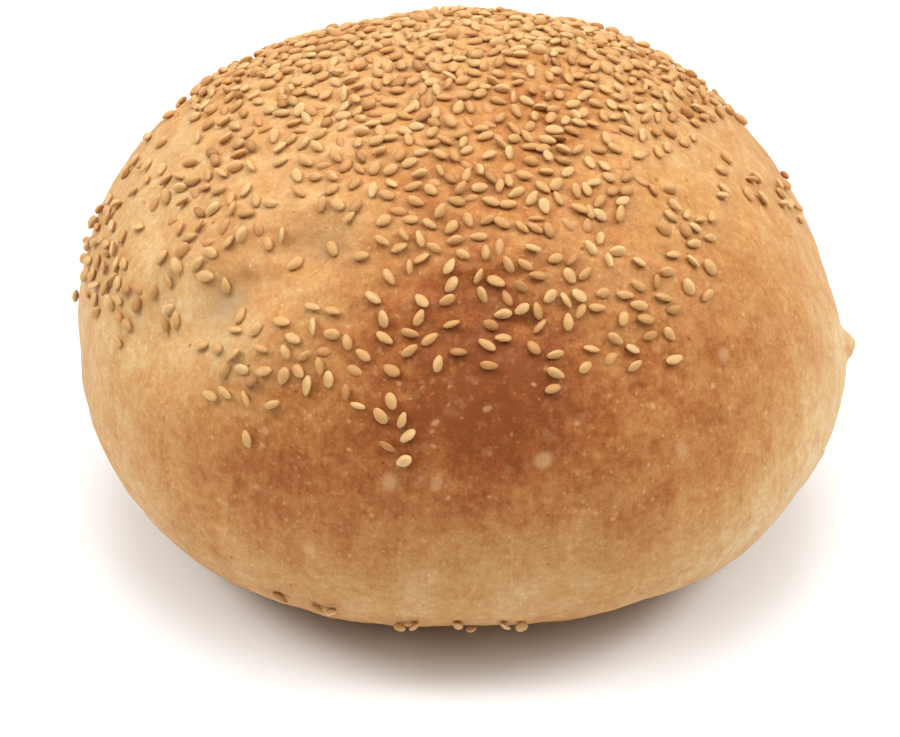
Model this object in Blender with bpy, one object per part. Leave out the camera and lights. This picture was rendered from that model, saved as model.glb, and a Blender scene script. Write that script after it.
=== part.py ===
# A round bread roll with a high domed top, full sides and a flat base.
# The loaf is one solid, in metres, +Z up. The front faces -Y.
# The origin is the middle of the base, so the roll stands on z = 0.

import math

import bmesh
import bpy
from mathutils import Vector, noise

# Driving sizes
WIDTH = 0.1227  # across X, the longest side
DEPTH_SHARE = 0.94  # depth of the round plan, against its width
CROWN_SHARE = 0.75  # height above the widest level, against half the width
FOOT_SHARE = 0.5  # depth below the widest level, against half the width
BASE_CUT = 0.92  # share of the foot that stays above the flat base
CROWN_FULLNESS = 2.1  # 2 gives an ellipse, more gives squarer shoulders
FOOT_FULLNESS = 2.4

BASE_LEVEL = -FOOT_SHARE * BASE_CUT * WIDTH / 2  # from the widest level

# The mesh: a cube of square cells blown up into a ball
CELLS = 30  # cells along each edge of the cube
RIM_SEARCH = 5.0  # the rim's slope lies between this fall and one over it
RIM_STEPS = 40  # halvings that find the slope

# Broad swells and flats where the dough rose unevenly, all equally wide.
# Each is (heading, lift) in degrees, then its height in metres.
# Heading 0 is the front, +90 the right side; lift 90 is the top.
SWELL_SPREAD = 22  # degrees
SWELLS = {
    "left_shoulder": (-90, 40, 0.002),
    "right_shoulder": (90, 35, -0.003),
    "back_crown": (160, 60, 0.001),
    "right_side": (90, 10, -0.003),
    "left_foot": (-40, -35, 0.004),
    "right_foot": (40, -30, 0.002),
    "back_side": (170, 0, 0.001),
}

# Folds in the crust, each along the shortest arc from one direction to another.
# Each is (heading, lift) of both ends, then spread in degrees and height in metres.
FOLDS = {
    "stretch_hollow": ((-55, 20), (-35, 40), 4, -0.002),
    "hollow_lip": ((-60, 25), (-30, 50), 4, 0.001),
    "hollow_bulge": ((-45, 15), (-20, 30), 5, 0.0007),
    "cap_edge_left": ((-25, 25), (5, 35), 4, -0.0006),
    "cap_edge_right": ((5, 35), (35, 20), 4, -0.0006),
    "side_wrinkle": ((15, 20), (15, -5), 4, -0.0004),
}

# Fine unevenness all over
RIPPLE_HEIGHT = 0.0003
RIPPLE_PITCH = 0.021

BODY_NAME = "bread_roll"
CRUST_COLOUR = (0.500, 0.235, 0.082, 1.0)
CRUST_ROUGHNESS = 0.55


def clear_scene():
    for item in list(bpy.data.objects):
        bpy.data.objects.remove(item)


def aim(heading, lift):
    """The direction at this heading and lift, both in degrees."""
    turn = math.radians(heading)
    rise = math.radians(lift)
    level = math.cos(rise)
    return Vector((math.sin(turn) * level, -math.cos(turn) * level, math.sin(rise)))


def bell(angle, spread):
    """A soft bump of height 1, falling away with the angle; spread is in degrees."""
    return math.exp(-0.5 * (angle / math.radians(spread)) ** 2)


def angle_to_arc(direction, start, end):
    """The angle from a direction to the shortest arc between two others."""
    pole = start.cross(end).normalized()
    across = direction.dot(pole)
    foot = direction - across * pole
    if start.cross(foot).dot(pole) > 0 and foot.cross(end).dot(pole) > 0:
        return abs(math.asin(across))
    return min(direction.angle(start), direction.angle(end))


def plain_radius(direction):
    """The even loaf: an ellipse in plan, a fuller curve up and down each side."""
    if direction.z >= 0:
        height = CROWN_SHARE
        fullness = CROWN_FULLNESS
    else:
        height = FOOT_SHARE
        fullness = FOOT_FULLNESS
    side = math.hypot(direction.x, direction.y / DEPTH_SHARE) ** fullness
    rise = abs(direction.z / height) ** fullness
    return WIDTH / 2 / (side + rise) ** (1 / fullness)


def loaf_radius(direction):
    """Distance of the crust from the middle of the widest level."""
    radius = plain_radius(direction)
    for heading, lift, height in SWELLS.values():
        radius += height * bell(direction.angle(aim(heading, lift)), SWELL_SPREAD)
    for start, end, spread, height in FOLDS.values():
        off = angle_to_arc(direction, aim(*start), aim(*end))
        radius += height * bell(off, spread)
    return radius + RIPPLE_HEIGHT * noise.noise(direction * radius / RIPPLE_PITCH)


def rim_slope(level_direction):
    """Fall of the line from the middle to the rim of the base, for one heading."""
    steep = -RIM_SEARCH
    shallow = -1 / RIM_SEARCH
    for _ in range(RIM_STEPS):
        slope = (steep + shallow) / 2
        direction = (level_direction + Vector((0, 0, slope))).normalized()
        if direction.z * loaf_radius(direction) < BASE_LEVEL:
            steep = slope
        else:
            shallow = slope
    return slope


def blow_up_cube(bm):
    """A cube of even cells with no underside, each corner pushed out to the crust.

    The side rows run from the rim of the base up to the square of cells on top.
    """
    bmesh.ops.create_cube(bm, size=2)
    bmesh.ops.subdivide_edges(bm, edges=bm.edges, cuts=CELLS - 1, use_grid_fill=True)
    under = [face for face in bm.faces if face.normal.z < -0.5]
    bmesh.ops.delete(bm, geom=under, context="FACES")
    quarter = math.pi / 4
    for corner in bm.verts:
        share = corner.co.z
        level = Vector((math.tan(corner.co.x * quarter), math.tan(corner.co.y * quarter), 0))
        if share < 1:
            rim = math.atan(rim_slope(level.normalized()) * level.length) / quarter
            share = rim + (share + 1) / 2 * (1 - rim)
        direction = (level + Vector((0, 0, math.tan(share * quarter)))).normalized()
        corner.co = direction * loaf_radius(direction)


def close_base(bm):
    """Lays the rim level and closes it with one flat face."""
    rim = [edge for edge in bm.edges if edge.is_boundary]
    for edge in rim:
        for corner in edge.verts:
            corner.co.z = BASE_LEVEL
    bmesh.ops.edgeloop_fill(bm, edges=rim)
    bmesh.ops.recalc_face_normals(bm, faces=bm.faces)


def stand_on_origin(bm):
    """Brings the loaf to its width, with the middle of its base at the origin."""
    lows = [min(corner.co[axis] for corner in bm.verts) for axis in range(3)]
    highs = [max(corner.co[axis] for corner in bm.verts) for axis in range(3)]
    middle = Vector(((lows[0] + highs[0]) / 2, (lows[1] + highs[1]) / 2, lows[2]))
    bmesh.ops.translate(bm, vec=-middle, verts=bm.verts)
    scale = WIDTH / (highs[0] - lows[0])
    bmesh.ops.scale(bm, vec=(scale, scale, scale), verts=bm.verts)


def crust_material():
    material = bpy.data.materials.new("crust")
    material.use_nodes = True
    shader = material.node_tree.nodes["Principled BSDF"]
    shader.inputs["Base Color"].default_value = CRUST_COLOUR
    shader.inputs["Roughness"].default_value = CRUST_ROUGHNESS
    shader.inputs["Metallic"].default_value = 0.0
    return material


def make_loaf():
    bm = bmesh.new()
    blow_up_cube(bm)
    close_base(bm)
    stand_on_origin(bm)
    mesh = bpy.data.meshes.new(BODY_NAME)
    bm.to_mesh(mesh)
    bm.free()
    mesh.shade_smooth()
    mesh.set_sharp_from_angle(angle=math.radians(40))
    mesh.materials.append(crust_material())
    loaf = bpy.data.objects.new(BODY_NAME, mesh)
    bpy.context.scene.collection.objects.link(loaf)
    return loaf


clear_scene()
make_loaf()
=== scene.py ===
import math
import random
from itertools import product

import bpy
import numpy as np
from mathutils import Matrix, Vector, noise
from mathutils.bvhtree import BVHTree


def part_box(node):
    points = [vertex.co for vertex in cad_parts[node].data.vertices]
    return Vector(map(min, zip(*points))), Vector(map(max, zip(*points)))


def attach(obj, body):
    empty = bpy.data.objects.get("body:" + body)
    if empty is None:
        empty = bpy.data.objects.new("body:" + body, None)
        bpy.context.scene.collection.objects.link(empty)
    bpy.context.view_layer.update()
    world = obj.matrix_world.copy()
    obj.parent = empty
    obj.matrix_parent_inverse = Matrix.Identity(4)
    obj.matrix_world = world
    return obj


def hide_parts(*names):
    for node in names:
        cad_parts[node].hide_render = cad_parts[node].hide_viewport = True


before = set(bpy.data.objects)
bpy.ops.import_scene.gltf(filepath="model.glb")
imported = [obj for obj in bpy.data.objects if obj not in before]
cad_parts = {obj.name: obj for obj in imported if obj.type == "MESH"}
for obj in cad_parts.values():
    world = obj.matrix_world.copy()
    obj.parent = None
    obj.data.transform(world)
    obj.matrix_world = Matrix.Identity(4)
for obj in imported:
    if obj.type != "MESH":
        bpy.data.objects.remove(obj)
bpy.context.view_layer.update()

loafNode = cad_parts["bread_roll"]
loafLow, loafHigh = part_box("bread_roll")
loafSize = loafHigh - loafLow
# the middle of the widest level: every heading and lift is measured from here
heart = Vector((0.002, -0.001, loafLow.z + 0.38 * loafSize.z))


def aim(heading, lift):
    # a direction: heading 0 is the front, 90 the right side; lift 90 is the top
    turn = math.radians(heading)
    rise = math.radians(lift)
    level = math.cos(rise)
    return Vector((math.sin(turn) * level, -math.cos(turn) * level, math.sin(rise)))


def deselectAll():
    if bpy.context.object and bpy.context.object.mode != "OBJECT":
        bpy.ops.object.mode_set(mode="OBJECT")
    bpy.ops.object.select_all(action="DESELECT")


def workOn(piece):
    deselectAll()
    piece.select_set(True)
    bpy.context.view_layer.objects.active = piece


def readPoints(mesh):
    points = np.zeros(len(mesh.vertices) * 3)
    mesh.vertices.foreach_get("co", points)
    return points.reshape(-1, 3)


def writePoints(mesh, points):
    mesh.vertices.foreach_set("co", points.astype(np.float32).ravel())
    mesh.update()


# the crust: a ball of fine squares, wrapped onto the loaf
crustShape = {
    "startSize": 0.08,
    "coarseCuts": 31,
    "fineCuts": 3,
    "softenSteps": 22,
    "softenFactor": 0.5,
    "pathStep": 0.5,  # degrees between the points picked along a fold
}


def selectNear(crust, rays, path):
    # selects the crust points that lie under a path of (heading, lift) corners
    picked = np.zeros(len(rays), bool)
    corners = [aim(*place) for place in path]
    if len(corners) == 1:
        corners = corners * 2
    for start, end in zip(corners, corners[1:]):
        steps = max(1, int(math.degrees(start.angle(end, 0)) / crustShape["pathStep"]))
        for step in range(steps + 1):
            ray = start.lerp(end, step / steps).normalized()
            picked[int(np.argmax(rays @ np.array(ray)))] = True
    bpy.ops.object.mode_set(mode="EDIT")
    bpy.ops.mesh.select_mode(type="VERT")
    bpy.ops.mesh.select_all(action="DESELECT")
    bpy.ops.object.mode_set(mode="OBJECT")
    crust.data.vertices.foreach_set("select", picked)
    bpy.ops.object.mode_set(mode="EDIT")


def pushAlong(crust, rays, path, height, reach):
    # raises or presses the crust along a path, by hand with soft selection
    selectNear(crust, rays, path)
    bpy.ops.transform.shrink_fatten(
        value=height,
        use_proportional_edit=True,
        proportional_edit_falloff="SMOOTH",
        proportional_size=reach,
    )
    bpy.ops.object.mode_set(mode="OBJECT")


# path of (heading, lift), height and reach in metres
crustFolds = {
    "hollowFloor": ([(-46, 28), (-35, 40)], 0.0003, 0.0070),
    "lobeGroove": ([(-45, 32), (-49, 23)], -0.0004, 0.0028),
    "lobeEdge": ([(-44, 37), (-52, 31), (-54, 23)], 0.0006, 0.0044),
    "hollowLip": ([(-45, 37), (-30, 47)], -0.0003, 0.0060),
    "hollowRidge": ([(-41, 24), (-30, 36)], 0.0004, 0.0046),
    "capCrease": ([(-10, 39), (8, 42)], -0.0004, 0.0022),
    "capCreaseLip": ([(-10, 42), (10, 45)], 0.0003, 0.0034),
    "capEdge": ([(-22, 25), (4, 38), (40, 20)], -0.00015, 0.0050),
    "frontWrinkle": ([(15, 19), (15, -1)], -0.0002, 0.0034),
    "sideWrinkle": ([(38, 13), (38, 1)], -0.0002, 0.0034),
    "crownDimple": ([(66, 75)], -0.0006, 0.0028),
    "rightDimple": ([(106, 43)], -0.0007, 0.0028),
    "leftDimple": ([(-43, 74)], -0.0005, 0.0026),
    "capBump": ([(-9, 53)], 0.0004, 0.0040),
    "tornNub": ([(83, 1), (83, 2)], 0.0018, 0.0030),
    "cornerNub": ([(64, -6)], 0.0004, 0.0020),
}

# broad rises and flats of the dough
doughSwells = {
    "rightSide": ([(80, 0)], 0.0010, 0.016),
    "backRim": ([(167, 45), (-147, 48)], -0.0008, 0.016),
    "rightCorner": ([(60, -10)], -0.0006, 0.012),
    "rightFoot": ([(30, -21)], -0.0006, 0.012),
}


def makeCrust():
    deselectAll()
    bpy.ops.mesh.primitive_cube_add(size=crustShape["startSize"], location=heart)
    crust = bpy.context.object
    crust.name = "crust"
    bpy.ops.object.mode_set(mode="EDIT")
    bpy.ops.mesh.select_all(action="SELECT")
    bpy.ops.mesh.subdivide(number_cuts=crustShape["coarseCuts"])
    bpy.ops.mesh.subdivide(number_cuts=crustShape["fineCuts"])
    bpy.ops.transform.tosphere(value=1)
    bpy.ops.object.mode_set(mode="OBJECT")
    rays = readPoints(crust.data)
    rays /= np.linalg.norm(rays, axis=1, keepdims=True)

    wrap = crust.modifiers.new("wrap", "SHRINKWRAP")
    wrap.target = loafNode
    wrap.wrap_method = "PROJECT"
    wrap.use_negative_direction = True
    wrap.use_positive_direction = True
    bpy.ops.object.modifier_apply(modifier="wrap")
    soften = crust.modifiers.new("soften", "SMOOTH")
    soften.factor = crustShape["softenFactor"]
    soften.iterations = crustShape["softenSteps"]
    bpy.ops.object.modifier_apply(modifier="soften")
    bpy.ops.object.transform_apply(location=True, rotation=True, scale=True)
    print("crust: ball wrapped onto the loaf,", len(crust.data.polygons), "faces")

    for path, height, reach in list(doughSwells.values()) + list(crustFolds.values()):
        pushAlong(crust, rays, path, height, reach)
    print("crust: folds pressed in")
    return crust, rays


crust, rays = makeCrust()


# fine relief of the skin, in millimetres
skin = {
    "swell": (14.0, 0.35, 0.35),  # wavelength, height on the sides, height on the seeded crown
    "lump": (6.5, 0.22, 0.60),
    "pebble": (3.4, 0.10, 0.36),
    "crownLifts": (20, 40),  # between these lifts the sides turn into the seeded crown
    "streakHeight": 0.12,
    "streakPitch": 2.2,
    "streakRound": 0.058,  # streaks change fast round the loaf and slowly down its side
    "streakDown": 0.16,
    "streakLifts": (25, 45),  # streaks fade out between these lifts
    "bottomFlat": 0.0002,  # metres above the base where the relief starts, and where it is whole
    "bottomKeep": 0.002,
    "seedBed": 0.55,  # the seeded crown sits this much lower, under its seeds
    "seedBedLifts": (12, 40),
}


def wideBell(headings, lifts, heading, lift, spreadHeading, spreadLift):
    across = (headings - heading + 180) % 360 - 180
    across = across * np.cos(np.radians(lifts))
    return np.exp(-0.5 * ((across / spreadHeading) ** 2 + ((lifts - lift) / spreadLift) ** 2))


def smoothstep(values, low, high):
    share = np.clip((values - low) / (high - low), 0, 1)
    return share * share * (3 - 2 * share)


def grain(points, wavelength, seed):
    # even noise from -1 to 1, wavelength in millimetres
    shift = Vector((seed * 7.3, seed * 3.1, seed * 5.7))
    scale = 1000 / wavelength
    return np.array([noise.noise(Vector(point) * scale + shift) for point in points])


headings = np.degrees(np.arctan2(rays[:, 0], -rays[:, 1]))
lifts = np.degrees(np.arcsin(np.clip(rays[:, 2], -1, 1)))


def roughenSkin():
    points = readPoints(crust.data)
    height = np.zeros(len(points))
    crown = smoothstep(lifts, *skin["crownLifts"])
    for seed, name in enumerate(("swell", "lump", "pebble")):
        wavelength, onSides, onCrown = skin[name]
        height += (onSides + (onCrown - onSides) * crown) * grain(points, wavelength, seed + 1)
    ring = points[:, :2] / np.linalg.norm(points[:, :2] + 1e-9, axis=1, keepdims=True)
    along = np.column_stack([ring * skin["streakRound"], points[:, 2] * skin["streakDown"]])
    side = 1 - smoothstep(lifts, *skin["streakLifts"])
    height += skin["streakHeight"] * grain(along, skin["streakPitch"], 9) * side
    height -= skin["seedBed"] * smoothstep(lifts, *skin["seedBedLifts"])
    lowest = loafLow.z
    height *= smoothstep(points[:, 2], lowest + skin["bottomFlat"], lowest + skin["bottomKeep"])
    normals = np.zeros(len(points) * 3)
    crust.data.vertices.foreach_get("normal", normals)
    points += normals.reshape(-1, 3) * height[:, None] / 1000
    points[:, 2] = np.maximum(points[:, 2], lowest)
    writePoints(crust.data, points)
    print("crust: skin roughened")


roughenSkin()


# one seed of each kind is modelled, and every other seed is a copy of one; sizes in metres
seedShape = {
    "length": 0.00246,
    "width": 0.00159,
    "thickness": 0.00112,
    "segments": 10,
    "rings": 8,
    "flatUnderside": 0.75,
    "pointFrom": 0.3,  # shares of the length from the middle: where the point starts to narrow
    "pointReach": 0.45,
    "bendFrom": 0.45,  # where the bend is pulled from
    "bendReach": 0.6,
    "tipStretch": 0.02,
}

# each kind: stretch of length, width and thickness, how much its point narrows, and its bend in metres
seedKinds = {
    "plump": (0.98, 1.06, 1.10, 0.10, 0.0),
    "slim": (1.05, 0.86, 0.96, 0.20, 0.00008),
    "flat": (1.00, 1.04, 0.86, 0.14, -0.00006),
    "bent": (1.02, 0.95, 1.00, 0.18, 0.00014),
}


def selectWhere(piece, wanted):
    # selects the points of a piece that pass a test, in edit mode
    bpy.ops.object.mode_set(mode="EDIT")
    bpy.ops.mesh.select_mode(type="VERT")
    bpy.ops.mesh.select_all(action="DESELECT")
    bpy.ops.object.mode_set(mode="OBJECT")
    for point in piece.data.vertices:
        point.select = wanted(point.co)
    bpy.ops.object.mode_set(mode="EDIT")


def makeSeedKind(name, stretchLong, stretchWide, stretchThick, point, bend):
    # one seed about the origin: its point towards +X, its flat side down
    length = seedShape["length"] * stretchLong
    deselectAll()
    bpy.ops.mesh.primitive_uv_sphere_add(
        segments=seedShape["segments"],
        ring_count=seedShape["rings"],
        radius=0.5,
        rotation=(0, math.pi / 2, 0),
    )
    seed = bpy.context.object
    seed.name = "seed_" + name
    bpy.ops.object.transform_apply(location=True, rotation=True, scale=True)
    bpy.ops.object.mode_set(mode="EDIT")
    bpy.ops.mesh.select_all(action="SELECT")
    size = (length, seedShape["width"] * stretchWide, seedShape["thickness"] * stretchThick)
    bpy.ops.transform.resize(value=size, center_override=(0, 0, 0))
    selectWhere(seed, lambda place: place.x > seedShape["pointFrom"] * length)
    bpy.ops.transform.resize(
        value=(1, 1 - point, 1 - point / 2),
        center_override=(seedShape["pointFrom"] * length, 0, 0),
        use_proportional_edit=True,
        proportional_edit_falloff="SMOOTH",
        proportional_size=seedShape["pointReach"] * length,
    )
    selectWhere(seed, lambda place: place.x > seedShape["bendFrom"] * length)
    bpy.ops.transform.translate(
        value=(seedShape["tipStretch"] * length, bend, 0),
        use_proportional_edit=True,
        proportional_edit_falloff="SMOOTH",
        proportional_size=seedShape["bendReach"] * length,
    )
    selectWhere(seed, lambda place: place.z < -0.00001)
    bpy.ops.transform.resize(value=(1, 1, seedShape["flatUnderside"]), center_override=(0, 0, 0))
    bpy.ops.object.mode_set(mode="OBJECT")
    tone = seed.data.color_attributes.new("seedTone", "FLOAT_COLOR", "POINT")
    for index, spot in enumerate(seed.data.vertices):
        rim = min(1, math.hypot(spot.co.x / size[0], spot.co.y / size[1]) * 2)
        # below the middle the depth is added to rim, so the material can darken each seed's underside:
        # partly real toasting, partly painted shade where the seed meets the crust
        rim += max(0, -spot.co.z / size[2]) * 2
        tone.data[index].color = (0, 0, spot.co.x / length + 0.5, rim)
    bpy.ops.object.shade_smooth()
    seed.hide_render = True
    return seed


seedPlan = {
    "wanted": 1080,
    "tries": 60000,
    "gap": 0.00232,
    "closeGap": 0.0015,
    "gapVaries": (0.8, 1.25),
    "lowestSine": -0.1,  # sine of the lowest lift where a strewn seed may fall
    "clumpShare": 0.04,
    "onEdgeShare": 0.13,
    "onEdgeTilt": (0.75, 1.45),  # radians
    "tiltSpread": 0.20,
    "sink": (0.05, 0.38),  # 0 rests on the crust, 1 has its middle level with it
    "sunkShare": 0.16,
    "sunkSink": (0.8, 1.3),
    "driftGap": 0.0021,
    "driftTries": 20,
    "driftStrayUp": 0.7,
    "driftTilt": 65,  # degrees
    "driftSink": (0.08, 0.30),
    "driftSunkSink": 1.05,
    "sizeSpread": 0.055,
    "pitchSpread": 0.10,
    "seed": 41,
}

# how far down the strewn seeds reach: (heading, lift of the lowest dense row)
seedReach = [(-180, 15), (-120, 27), (-90, 39), (-60, 50), (-30, 47), (30, 47), (60, 52), (90, 45),
             (120, 30), (180, 15)]

# bare or thin places: (heading, lift, spread across, spread up, how much is missing)
seedGaps = [(10, 55, 20, 8, 0.3), (60, 55, 14, 6, 0.35), (-40, 50, 6, 5, 0.8), (100, 45, 12, 8, 0.4),
            (-95, 50, 18, 10, 0.35)]


# how the strewn seeds thin out, in degrees and shares
seedFall = {
    "ragged": 1.5,  # how far their lower edge wanders
    "raggedPitch": 0.09,
    "frontFade": 2,  # the edge is sharp in front and soft at the sides and back
    "sideFade": 12,
    "sideHeadings": (45, 80),
    "backHeading": 115,  # past this heading some seeds stray below the edge
    "backShare": 0.12,
    "backReach": 12,
    "edgeShare": 0.75,  # share of the seeds that fall just above the edge
    "fullAbove": (4, 22),
    "patches": 0.35,
    "patchPitch": 6.5,
}


def seedChance(heading, lift):
    reach = np.interp(heading, [place[0] for place in seedReach], [place[1] for place in seedReach])
    ragged = seedFall["ragged"] * noise.noise(Vector((heading * seedFall["raggedPitch"], 4.2, 0)))
    fade = seedFall["frontFade"] + seedFall["sideFade"] * smoothstep(abs(heading), *seedFall["sideHeadings"])
    chance = smoothstep(lift, reach - 1 + ragged, reach + fade + ragged)
    if abs(heading) > seedFall["backHeading"]:
        strays = seedFall["backShare"] * smoothstep(lift, reach - seedFall["backReach"], reach)
        chance = max(chance, strays)
    fullFrom, fullTo = seedFall["fullAbove"]
    edgeShare = seedFall["edgeShare"]
    chance *= edgeShare + (1 - edgeShare) * smoothstep(lift, reach + fullFrom, reach + fullTo)
    for place in seedGaps:
        chance *= 1 - place[4] * wideBell(heading, lift, *place[:4])
    patchy = noise.noise(aim(heading, lift) * seedFall["patchPitch"] + Vector((3, 1, 8)))
    return chance * (1 + seedFall["patches"] * patchy)


def cellOf(hit):
    return tuple(int(math.floor(value / seedPlan["gap"])) for value in hit)


def seedSpots(rng, surface, taken):
    # seeds fall on the crust at random, thinly where the dough is bare
    spots = []
    near = {}
    for hit in taken:
        near.setdefault(cellOf(hit), []).append(hit)
    for attempt in range(seedPlan["tries"]):
        if len(spots) >= seedPlan["wanted"]:
            break
        heading = rng.uniform(-180, 180)
        lift = math.degrees(math.asin(rng.uniform(seedPlan["lowestSine"], 1)))
        if rng.random() > seedChance(heading, lift):
            continue
        hit, normal, face, reach = surface.ray_cast(heart, aim(heading, lift))
        gap = seedPlan["gap"] * rng.uniform(*seedPlan["gapVaries"])
        if rng.random() < seedPlan["clumpShare"]:
            gap = seedPlan["closeGap"]
        key = cellOf(hit)
        around = [(key[0] + x, key[1] + y, key[2] + z) for x, y, z in product((-1, 0, 1), repeat=3)]
        if any((hit - other).length < gap for spot in around for other in near.get(spot, ())):
            continue
        near.setdefault(key, []).append(hit)
        spots.append((hit, normal))
    return spots


# seeds that lie in drifts below the strewn ones, each drift along a path of (heading, lift):
# how many seeds, how far they stray from the path in degrees, and the share baked in deep
seedDrifts = {
    "leftLobe": ([(-42, 21), (-24, 29)], 32, 3.5, 0.1),
    "frontTrail": ([(-20, 26), (-9, 16)], 10, 2.5, 0.0),
    "frontRow": ([(-18, 32), (6, 32)], 16, 3.0, 0.0),
    "capFront": ([(-25, 43), (30, 42)], 30, 3.0, 0.05),
    "capRight": ([(8, 37), (40, 35)], 24, 3.0, 0.05),
    "lowRight": ([(10, 27), (32, 26)], 13, 2.0, 0.05),
    "leftCheek": ([(-62, 17), (-55, 37)], 24, 4.5, 0.1),
    "leftShoulder": ([(-82, 42), (-55, 47)], 16, 3.5, 0.05),
    "leftFlank": ([(-90, 33), (-45, 43)], 34, 5.0, 0.1),
    "leftRim": ([(-92, 18), (-66, 18)], 36, 4.0, 0.0),
    "rightShoulder": ([(42, 34), (58, 46)], 16, 4.5, 0.0),
    "rightRim": ([(72, 44), (100, 20)], 16, 5.0, 0.0),
    "foot": ([(-30, -14), (-14, -16), (6, -19)], 9, 1.5, 0.0),
}


def driftSpots(rng, surface):
    # every drift's seeds, spaced at random along its path and clear of each other
    spots = []
    for path, count, stray, sunkShare in seedDrifts.values():
        laid = 0
        for attempt in range(count * seedPlan["driftTries"]):
            if laid == count:
                break
            along = rng.uniform(0, len(path) - 1)
            leg = min(int(along), len(path) - 2)
            start, end = path[leg], path[leg + 1]
            heading = start[0] + (end[0] - start[0]) * (along - leg) + rng.gauss(0, stray)
            strayUp = stray * seedPlan["driftStrayUp"]
            lift = start[1] + (end[1] - start[1]) * (along - leg) + rng.gauss(0, strayUp)
            hit, normal, face, reach = surface.ray_cast(heart, aim(heading, lift))
            if any((hit - spot[0]).length < seedPlan["driftGap"] for spot in spots):
                continue
            spots.append((hit, normal, rng.random() < sunkShare))
            laid += 1
    return spots


def seedFrame(normal, lean):
    # the seed's point leans from the upward slope, turning to the right
    up = (Vector((0, 0, 1)) - normal * normal.z).normalized()
    right = up.cross(normal)
    point = up * math.cos(math.radians(lean)) + right * math.sin(math.radians(lean))
    return Matrix((point, normal.cross(point), normal)).transposed().to_4x4()


def placeSeed(rng, kinds, hit, normal, lean, tilt, sink):
    kind = rng.choice(kinds)
    seed = kind.copy()
    seed.data = kind.data.copy()
    seed.hide_render = False
    bpy.context.scene.collection.objects.link(seed)
    size = rng.gauss(1, seedPlan["sizeSpread"])
    pitch = rng.gauss(0, seedPlan["pitchSpread"])
    half = seedShape["thickness"] / 2
    edge = abs(math.sin(tilt)) * (seedShape["width"] / 2 - half)
    lift = (half + edge) * (1 - sink)
    place = Matrix.Translation(hit + normal * lift) @ seedFrame(normal, lean)
    place = place @ Matrix.Rotation(pitch, 4, "Y") @ Matrix.Rotation(tilt, 4, "X") @ Matrix.Scale(size, 4)
    seed.data.transform(place)
    values = np.zeros(len(seed.data.vertices) * 4)
    tone = seed.data.color_attributes["seedTone"]
    tone.data.foreach_get("color", values)
    values = values.reshape(-1, 4)
    values[:, 0] = rng.random()
    values[:, 1] = rng.random() if sink < 0.75 else 0
    tone.data.foreach_set("color", values.ravel())
    return seed


def strewSeeds():
    rng = random.Random(seedPlan["seed"])
    kinds = [makeSeedKind(name, *values) for name, values in seedKinds.items()]
    surface = BVHTree.FromObject(crust, bpy.context.evaluated_depsgraph_get())
    laid = []
    for hit, normal, sunk in driftSpots(rng, surface):
        tilt = math.radians(rng.choice((-1, 1)) * rng.uniform(0, seedPlan["driftTilt"]))
        sink = rng.uniform(*seedPlan["driftSink"])
        if sunk:
            tilt = 0
            sink = seedPlan["driftSunkSink"]
        laid.append((hit, normal, rng.uniform(0, 360), tilt, sink))
    for hit, normal in seedSpots(rng, surface, [spot[0] for spot in laid]):
        tilt = rng.gauss(0, seedPlan["tiltSpread"])
        if rng.random() < seedPlan["onEdgeShare"]:
            tilt = rng.choice((-1, 1)) * rng.uniform(*seedPlan["onEdgeTilt"])
        sink = rng.uniform(*seedPlan["sink"])
        if rng.random() < seedPlan["sunkShare"]:
            sink = rng.uniform(*seedPlan["sunkSink"])
        laid.append((hit, normal, rng.uniform(0, 360), tilt, sink))
    seeds = [placeSeed(rng, kinds, *spot) for spot in laid]
    deselectAll()
    for seed in seeds:
        seed.select_set(True)
    bpy.context.view_layer.objects.active = seeds[0]
    bpy.ops.object.join()
    joined = bpy.context.object
    joined.name = "sesame_seeds"
    for kind in kinds:
        bpy.data.objects.remove(kind)
    print("seeds:", len(seeds), "laid,", len(joined.data.polygons), "faces")
    return joined


seeds = strewSeeds()


# browning, painted on the points of the crust:
# (heading, lift, spread across, spread up, how much darker)
browning = [
    (0, 25, 12, 10, 0.55),
    (0, 20, 30, 12, 0.1),
    (20, 15, 12, 12, 0.25),
    (38, 8, 2, 6, 0.15),
    (-5, 40, 12, 6, 0.2),
    (15, 55, 16, 12, 0.2),
    (-15, 55, 10, 8, 0.1),
    (60, 75, 14, 9, 0.25),
    (107, 45, 4, 3, 0.25),
    (-30, 10, 14, 10, 0.25),
    (-25, 0, 12, 8, 0.2),
    (45, 20, 12, 12, 0.2),
    (68, 15, 10, 9, 0.1),
    (-45, 24, 8, 5, -0.25),
    (-70, 25, 16, 15, -0.15),
    (-50, 33, 2, 3, 0.2),
    (50, -8, 8, 6, -0.2),
    (70, -3, 16, 12, -0.4),
    (83, 1, 3, 3, -0.4),
    (-70, 0, 18, 14, -0.1),
    (0, -8, 50, 7, -0.15),
    (-150, 10, 40, 14, 0.1),
    (150, 5, 30, 12, 0.1),
]
paleDough = [(-46, 28, 2.5, 2.5, 0.6), (-33, 43, 3, 2, 0.35)]

bakeLook = {
    "level": 0.4,  # how brown the sides are, and how much less the top is
    "topPaler": 0.1,
    "topLift": 60,
    "clouds": ((0.08, 16, 21), (0.05, 6.5, 22), (0.04, 3, 23)),  # strength, wavelength in millimetres, seed
    "palePatches": (0.5, 5, 24),
    "sideLifts": (8, 30),
    "underHeight": 0.003,
    "softFloor": 0.2,  # paler than this, the browning levels off towards lowest
    "lowest": 0.08,
    "softFall": 0.12,
}


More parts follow.
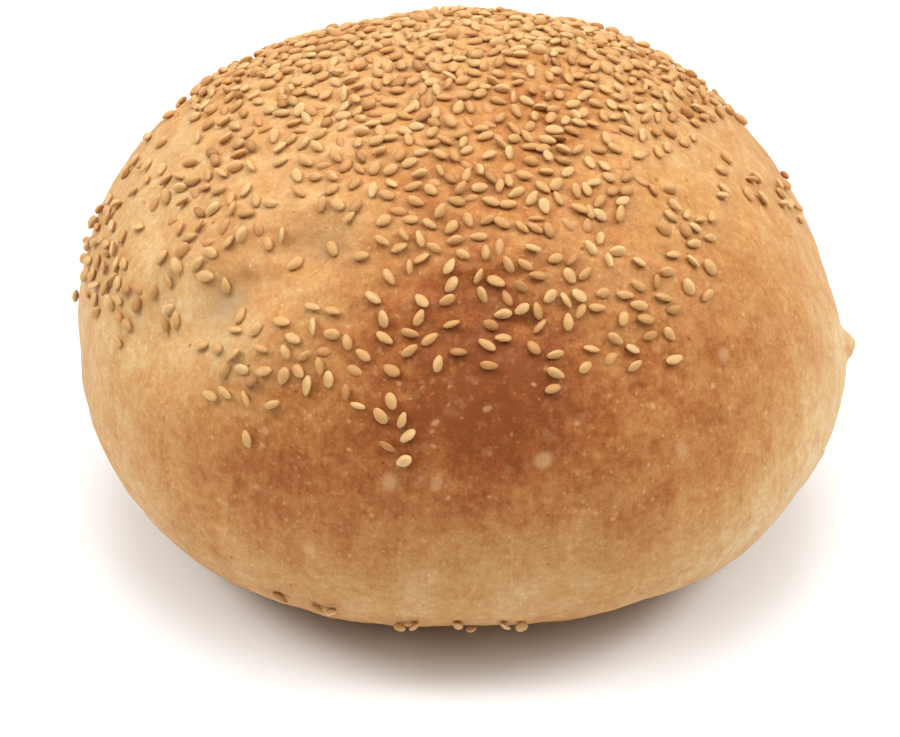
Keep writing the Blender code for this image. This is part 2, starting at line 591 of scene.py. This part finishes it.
def paintCrust():
    points = readPoints(crust.data)
    brown = bakeLook["level"] - bakeLook["topPaler"] * np.clip(lifts / bakeLook["topLift"], 0, 1)
    for place in browning:
        brown += place[4] * wideBell(headings, lifts, *place[:4])
    brown += sum(strength * grain(points, *cloud) for strength, *cloud in bakeLook["clouds"])
    pale = np.zeros(len(points))
    for place in paleDough:
        pale = np.maximum(pale, place[4] * wideBell(headings, lifts, *place[:4]))
    strength, wavelength, seed = bakeLook["palePatches"]
    pale *= 1 + strength * grain(points, wavelength, seed)
    side = 1 - smoothstep(lifts, *bakeLook["sideLifts"])
    under = 1 - smoothstep(points[:, 2], loafLow.z, loafLow.z + bakeLook["underHeight"])
    floor, fall = bakeLook["softFloor"], bakeLook["softFall"]
    brown = np.where(brown < floor, bakeLook["lowest"] + fall * np.exp((brown - floor) / fall), brown)
    values = np.column_stack([np.clip(brown, 0, 1), np.clip(pale, 0, 1), side, under])
    bake = crust.data.color_attributes.new("bake", "FLOAT_COLOR", "POINT")
    bake.data.foreach_set("color", values.ravel())
    print("crust: browning painted")


paintCrust()


def newMaterial(name):
    material = bpy.data.materials.new(name)
    material.use_nodes = True
    nodes = material.node_tree.nodes
    return material, nodes, material.node_tree.links, nodes["Principled BSDF"]


def addNode(nodes, kind, **settings):
    node = nodes.new(kind)
    for name, value in settings.items():
        setattr(node, name, value)
    return node


def mathNode(tree, operation, first, second):
    node = addNode(tree.nodes, "ShaderNodeMath", operation=operation)
    for socket, value in zip(node.inputs, (first, second)):
        if isinstance(value, (int, float)):
            socket.default_value = value
        else:
            tree.links.new(value, socket)
    return node.outputs[0]


def remap(tree, value, low, high, newLow=0.0, newHigh=1.0):
    node = addNode(tree.nodes, "ShaderNodeMapRange", interpolation_type="SMOOTHSTEP")
    tree.links.new(value, node.inputs["Value"])
    node.inputs["From Min"].default_value = low
    node.inputs["From Max"].default_value = high
    node.inputs["To Min"].default_value = newLow
    node.inputs["To Max"].default_value = newHigh
    return node.outputs["Result"]


def noiseNode(tree, vector, scale, detail, roughness):
    node = addNode(tree.nodes, "ShaderNodeTexNoise")
    tree.links.new(vector, node.inputs["Vector"])
    node.inputs["Scale"].default_value = scale
    node.inputs["Detail"].default_value = detail
    node.inputs["Roughness"].default_value = roughness
    return node.outputs["Fac"]


def mixColour(tree, amount, first, second):
    node = addNode(tree.nodes, "ShaderNodeMix", data_type="RGBA", blend_type="MIX")
    for name, value in (("Factor", amount), ("A", first), ("B", second)):
        socket = [s for s in node.inputs if s.name == name and s.enabled][0]
        if isinstance(value, (int, float)):
            socket.default_value = value
        elif isinstance(value, tuple):
            socket.default_value = (*value, 1.0)
        else:
            tree.links.new(value, socket)
    return [s for s in node.outputs if s.enabled][0]


def rampNode(tree, value, stops):
    node = addNode(tree.nodes, "ShaderNodeValToRGB")
    tree.links.new(value, node.inputs["Fac"])
    ramp = node.color_ramp
    while len(ramp.elements) < len(stops):
        ramp.elements.new(0.5)
    for element, (place, colour) in zip(ramp.elements, stops):
        element.position = place
        element.color = (*colour, 1.0)
    return node.outputs["Color"]


# from the palest dough to the darkest brown
crustColours = [
    (0.00, (0.630, 0.450, 0.250)),
    (0.14, (0.588, 0.366, 0.161)),
    (0.29, (0.538, 0.297, 0.114)),
    (0.41, (0.492, 0.243, 0.081)),
    (0.55, (0.436, 0.187, 0.055)),
    (0.71, (0.355, 0.125, 0.032)),
    (0.86, (0.280, 0.080, 0.018)),
    (1.00, (0.210, 0.054, 0.011)),
]

# marks scattered on the crust: how many, where (headings, lifts), length in metres, strength
seedScars = {"count": 18, "headings": (-35, 60), "lifts": (-10, 27), "length": (0.0012, 0.0036),
             "strength": (0.3, 0.5), "seed": 7}
burntSpots = {"count": 12, "headings": (-65, 108), "lifts": (48, 78), "length": (0.0010, 0.0030),
              "strength": (0.45, 0.6), "seed": 5}


def scatterMarks(marks):
    # each mark: heading, lift, length, width, lean, strength
    rng = random.Random(marks["seed"])
    made = []
    for count in range(marks["count"]):
        length = rng.uniform(*marks["length"])
        width = length * rng.uniform(0.55, 0.85)
        made.append((rng.uniform(*marks["headings"]), rng.uniform(*marks["lifts"]), length, width,
                     rng.uniform(-90, 90), rng.uniform(*marks["strength"])))
    return made


def scaled(tree, value, amount):
    # a texture from 0 to 1 becomes one about zero, this strong
    return mathNode(tree, "MULTIPLY", mathNode(tree, "SUBTRACT", value, 0.5), amount)


def dotNode(tree, vector, scale, inner, outer, share):
    # round dots: a cell texture cut near its centres, in only a share of the cells
    node = addNode(tree.nodes, "ShaderNodeTexVoronoi")
    tree.links.new(vector, node.inputs["Vector"])
    node.inputs["Scale"].default_value = scale
    parts = addNode(tree.nodes, "ShaderNodeSeparateColor")
    tree.links.new(node.outputs["Color"], parts.inputs["Color"])
    chosen = mathNode(tree, "LESS_THAN", parts.outputs[0], share)
    strength = mathNode(tree, "MULTIPLY", chosen, remap(tree, parts.outputs[2], 0.0, 1.0, 0.3, 1.0))
    size = remap(tree, parts.outputs[1], 0.0, 1.0, 0.5, 1.2)
    distance = mathNode(tree, "DIVIDE", node.outputs["Distance"], size)
    return mathNode(tree, "MULTIPLY", strength, remap(tree, distance, inner, outer, 1.0, 0.0))


def scarNode(tree, place, surface, heading, lift, length, width, lean, strength):
    # an oval mark lying on the crust
    hit, normal, face, reach = surface.ray_cast(heart, aim(heading, lift))
    up = (Vector((0, 0, 1)) - normal * normal.z).normalized()
    across = normal.cross(up)
    frameOfMark = Matrix((up, across, normal)).transposed() @ Matrix.Rotation(math.radians(lean), 3, "Z")
    node = addNode(tree.nodes, "ShaderNodeMapping", vector_type="TEXTURE")
    tree.links.new(place, node.inputs["Vector"])
    node.inputs["Location"].default_value = hit
    node.inputs["Rotation"].default_value = frameOfMark.to_euler()
    node.inputs["Scale"].default_value = (length / 2, width / 2, length)
    away = addNode(tree.nodes, "ShaderNodeVectorMath", operation="LENGTH")
    tree.links.new(node.outputs[0], away.inputs[0])
    return remap(tree, away.outputs["Value"], 0.45, 1.25, strength, 0.0)


crustTints = {
    "blotch": (0.68, 0.40, 0.18),
    "blister": (0.68, 0.40, 0.185),
    "dough": (0.31, 0.215, 0.12),
    "doughPore": (0.18, 0.125, 0.07),
    "scar": (0.60, 0.37, 0.18),
    "burnt": (0.23, 0.07, 0.02),
    "underside": (0.33, 0.15, 0.05),
}

# how much each texture darkens the crust; pale ones are taken away
crustLevels = {
    "mottle": 0.52,
    "grainy": 0.54,
    "speck": 0.30,
    "bands": 0.24,
    "threads": 0.23,
    "paleThreads": 0.10,
    "blisters": 0.06,
    "pinheads": 0.24,
    "pores": 0.38,
}

# how high each texture stands on the crust
crustRelief = {
    "grainy": 0.45,
    "speck": 0.15,
    "blisters": 0.2,
    "paleThreads": 0.2,
    "pores": 0.8,
    "strength": 0.6,
    "distance": 0.0006,
}

crustFinish = {
    "Roughness": 0.6,
    "Specular IOR Level": 0.15,
    "Subsurface Weight": 0.15,
    "Subsurface Radius": (1.0, 0.45, 0.2),
    "Subsurface Scale": 0.0015,
}


def setFinish(shader, finish):
    for name, value in finish.items():
        shader.inputs[name].default_value = value


def crustMaterial():
    material, nodes, links, shader = newMaterial("baked_crust")
    tree = material.node_tree
    place = addNode(nodes, "ShaderNodeTexCoord").outputs["Object"]
    bake = addNode(nodes, "ShaderNodeAttribute", attribute_name="bake")
    parts = addNode(nodes, "ShaderNodeSeparateColor")
    links.new(bake.outputs["Color"], parts.inputs["Color"])
    brown, pale, side = parts.outputs[0], parts.outputs[1], parts.outputs[2]
    under = bake.outputs["Alpha"]

    # threads drawn down the sides: even round the loaf, long from top to bottom
    flat = addNode(nodes, "ShaderNodeVectorMath", operation="MULTIPLY")
    links.new(place, flat.inputs[0])
    flat.inputs[1].default_value = (1, 1, 0)
    ring = addNode(nodes, "ShaderNodeVectorMath", operation="NORMALIZE")
    links.new(flat.outputs[0], ring.inputs[0])
    tall = addNode(nodes, "ShaderNodeVectorMath", operation="MULTIPLY")
    links.new(place, tall.inputs[0])
    tall.inputs[1].default_value = (0.06, 0.06, 0.10)
    drawn = addNode(nodes, "ShaderNodeVectorMath", operation="MULTIPLY_ADD")
    links.new(ring.outputs[0], drawn.inputs[0])
    drawn.inputs[1].default_value = (0.055, 0.055, 0)
    links.new(tall.outputs[0], drawn.inputs[2])
    threads = noiseNode(tree, drawn.outputs[0], scale=750, detail=3, roughness=0.6)
    paleThreads = mathNode(tree, "MULTIPLY", remap(tree, threads, 0.56, 0.70), side)
    bands = noiseNode(tree, drawn.outputs[0], scale=190, detail=2, roughness=0.5)

    speck = noiseNode(tree, place, scale=2400, detail=2, roughness=0.6)
    grainy = noiseNode(tree, place, scale=800, detail=3, roughness=0.6)
    mottle = noiseNode(tree, place, scale=210, detail=4, roughness=0.55)
    wobble = addNode(nodes, "ShaderNodeTexNoise")
    links.new(place, wobble.inputs["Vector"])
    wobble.inputs["Scale"].default_value = 900
    uneven = addNode(nodes, "ShaderNodeVectorMath", operation="MULTIPLY_ADD")
    links.new(wobble.outputs["Color"], uneven.inputs[0])
    uneven.inputs[1].default_value = (0.0009, 0.0009, 0.0009)
    links.new(place, uneven.inputs[2])
    blisters = dotNode(tree, uneven.outputs[0], scale=560, inner=0.03, outer=0.30, share=0.70)
    blotches = noiseNode(tree, uneven.outputs[0], scale=430, detail=2, roughness=0.5)
    blotches = remap(tree, blotches, 0.52, 0.70)
    pinheads = dotNode(tree, uneven.outputs[0], scale=1500, inner=0.16, outer=0.40, share=0.40)
    pores = dotNode(tree, place, scale=520, inner=0.06, outer=0.15, share=0.70)
    poreFields = remap(tree, noiseNode(tree, place, scale=110, detail=2, roughness=0.5), 0.46, 0.60)
    pores = mathNode(tree, "MULTIPLY", pores, poreFields)

    level = brown
    for name, texture in (("mottle", mottle), ("grainy", grainy), ("speck", speck)):
        level = mathNode(tree, "ADD", level, scaled(tree, texture, crustLevels[name]))
    for name, texture in (("bands", bands), ("threads", threads)):
        onSide = mathNode(tree, "MULTIPLY", scaled(tree, texture, crustLevels[name]), side)
        level = mathNode(tree, "ADD", level, onSide)
    for name, texture in (("paleThreads", paleThreads), ("blisters", blisters), ("pinheads", pinheads)):
        level = mathNode(tree, "SUBTRACT", level, mathNode(tree, "MULTIPLY", texture, crustLevels[name]))
    level = mathNode(tree, "ADD", level, mathNode(tree, "MULTIPLY", pores, crustLevels["pores"]))
    colour = rampNode(tree, level, crustColours)
    colour = mixColour(tree, mathNode(tree, "MULTIPLY", blotches, 0.12), colour, crustTints["blotch"])
    colour = mixColour(tree, mathNode(tree, "MULTIPLY", blisters, 0.46), colour, crustTints["blister"])
    inPore = mathNode(tree, "MULTIPLY", pores, 0.6)
    doughLook = mixColour(tree, inPore, crustTints["dough"], crustTints["doughPore"])
    colour = mixColour(tree, pale, colour, doughLook)
    surface = BVHTree.FromObject(crust, bpy.context.evaluated_depsgraph_get())
    for scar in scatterMarks(seedScars):
        colour = mixColour(tree, scarNode(tree, place, surface, *scar), colour, crustTints["scar"])
    for spot in scatterMarks(burntSpots):
        colour = mixColour(tree, scarNode(tree, place, surface, *spot), colour, crustTints["burnt"])
    colour = mixColour(tree, under, colour, crustTints["underside"])
    links.new(colour, shader.inputs["Base Color"])
    setFinish(shader, crustFinish)

    relief = scaled(tree, grainy, crustRelief["grainy"])
    relief = mathNode(tree, "ADD", relief, scaled(tree, speck, crustRelief["speck"]))
    for name, texture in (("blisters", blisters), ("paleThreads", paleThreads)):
        relief = mathNode(tree, "ADD", relief, mathNode(tree, "MULTIPLY", texture, crustRelief[name]))
    relief = mathNode(tree, "SUBTRACT", relief, mathNode(tree, "MULTIPLY", pores, crustRelief["pores"]))
    bump = addNode(nodes, "ShaderNodeBump")
    bump.inputs["Strength"].default_value = crustRelief["strength"]
    bump.inputs["Distance"].default_value = crustRelief["distance"]
    links.new(relief, bump.inputs["Height"])
    links.new(bump.outputs["Normal"], shader.inputs["Normal"])
    return material


# from the darkest toasted seed to the palest
seedColours = [
    (0.0, (0.34, 0.145, 0.042)),
    (0.06, (0.45, 0.220, 0.070)),
    (0.2, (0.52, 0.280, 0.098)),
    (0.7, (0.60, 0.360, 0.145)),
    (1.0, (0.66, 0.440, 0.205)),
]

seedTints = {
    "face": (0.48, 0.255, 0.085),
    # the underside colour: partly real toasting, partly painted shade under each seed
    "toastedShadedFlank": (0.33, 0.135, 0.038),
    "sunk": (0.50, 0.235, 0.082),
    "tip": (0.16, 0.06, 0.02),
}

seedFinish = {
    "Roughness": 0.45,
    "Specular IOR Level": 0.3,
    "Subsurface Weight": 0.3,
    "Subsurface Radius": (1.0, 0.5, 0.25),
    "Subsurface Scale": 0.0006,
}


def seedMaterial():
    material, nodes, links, shader = newMaterial("sesame")
    tree = material.node_tree
    tone = addNode(nodes, "ShaderNodeAttribute", attribute_name="seedTone")
    parts = addNode(nodes, "ShaderNodeSeparateColor")
    links.new(tone.outputs["Color"], parts.inputs["Color"])
    colour = rampNode(tree, parts.outputs[0], seedColours)
    sunk = mathNode(tree, "LESS_THAN", parts.outputs[1], 0.001)
    face = remap(tree, tone.outputs["Alpha"], 0.35, 0.95, 0.45, 0.0)
    colour = mixColour(tree, face, colour, seedTints["face"])
    # painted shade: each seed darkens below its middle, where it meets the crust; partly real toasting
    low = remap(tree, tone.outputs["Alpha"], 1.02, 1.32, 0.0, 0.50)
    colour = mixColour(tree, low, colour, seedTints["toastedShadedFlank"])
    colour = mixColour(tree, mathNode(tree, "MULTIPLY", sunk, 0.7), colour, seedTints["sunk"])
    tip = remap(tree, parts.outputs[2], 0.88, 1.02, 0.0, 0.5)
    tip = mathNode(tree, "MULTIPLY", tip, mathNode(tree, "GREATER_THAN", parts.outputs[1], 0.85))
    colour = mixColour(tree, tip, colour, seedTints["tip"])
    links.new(colour, shader.inputs["Base Color"])
    setFinish(shader, seedFinish)
    return material


def dress(piece, material):
    piece.data.materials.clear()
    piece.data.materials.append(material)
    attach(piece, "root")


workOn(crust)
bpy.ops.object.shade_smooth()
dress(crust, crustMaterial())
dress(seeds, seedMaterial())
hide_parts("bread_roll")
print("materials: crust and seeds dressed")


# floor, lamps and camera; sizes in metres
studio = {
    "floorSize": 6.0,
    "floorColour": (0.86, 0.872, 0.872),
    "floorRoughness": 0.9,
    "worldStrength": 0.16,
}

# name: place and aim in metres, size, power
lamps = {
    "overhead": ((0, 0, 1.2), (0, 0, 0.03), 0.7, 6.8),
    "left": ((-0.8, 0, 0.8), (0, 0, 0.03), 0.4, 6.0),
    "right": ((0.8, 0, 0.8), (0, 0, 0.03), 0.4, 6.0),
    "back": ((0, 0.9, 0.9), (0, 0, 0.03), 0.8, 5.0),
    "frontLeft": ((-0.6, -0.4, 1.0), (0, 0, 0.03), 0.8, 4.0),
    "frontRight": ((0.6, -0.4, 1.0), (0, 0, 0.03), 0.8, 4.5),
}

shot = {
    "centre": (0, 0, 0.029),
    "elevation": 34,
    "distance": 0.385,
    "lens": 94.5,
    "across": -0.0015,
    "down": 0.0075,
    "sensor": 36,
    "nearest": 0.01,
}


def aimAt(item, place, target):
    item.location = place
    item.rotation_euler = (Vector(target) - Vector(place)).to_track_quat("-Z", "Y").to_euler()


def buildStudio():
    deselectAll()
    bpy.ops.mesh.primitive_plane_add(size=studio["floorSize"], location=(0, 0, loafLow.z))
    floor = bpy.context.object
    floor.name = "floor"
    material, nodes, links, shader = newMaterial("floor_paper")
    shader.inputs["Base Color"].default_value = (*studio["floorColour"], 1.0)
    shader.inputs["Roughness"].default_value = studio["floorRoughness"]
    floor.data.materials.append(material)
    for name, (place, target, size, power) in lamps.items():
        bpy.ops.object.light_add(type="AREA", location=place)
        lamp = bpy.context.object
        lamp.name = name
        lamp.data.size = size
        lamp.data.energy = power
        aimAt(lamp, place, target)
    world = bpy.data.worlds.new("studio")
    world.use_nodes = True
    world.node_tree.nodes["Background"].inputs["Color"].default_value = (1, 1, 1, 1)
    world.node_tree.nodes["Background"].inputs["Strength"].default_value = studio["worldStrength"]
    bpy.context.scene.world = world
    bpy.context.scene.view_settings.view_transform = "Standard"
    print("studio: floor and lamps set")


def placeCamera():
    rise = math.radians(shot["elevation"])
    back = Vector((0, -math.cos(rise), math.sin(rise)))
    up = Vector((0, math.sin(rise), math.cos(rise)))
    centre = Vector(shot["centre"])
    place = centre + back * shot["distance"]
    target = centre + Vector((shot["across"], 0, 0)) - up * shot["down"]
    bpy.ops.object.camera_add(location=place)
    camera = bpy.context.object
    camera.data.lens = shot["lens"]
    camera.data.sensor_width = shot["sensor"]
    camera.data.clip_start = shot["nearest"]
    aimAt(camera, place, target)
    bpy.context.scene.camera = camera
    print("camera: placed")


buildStudio()
placeCamera()
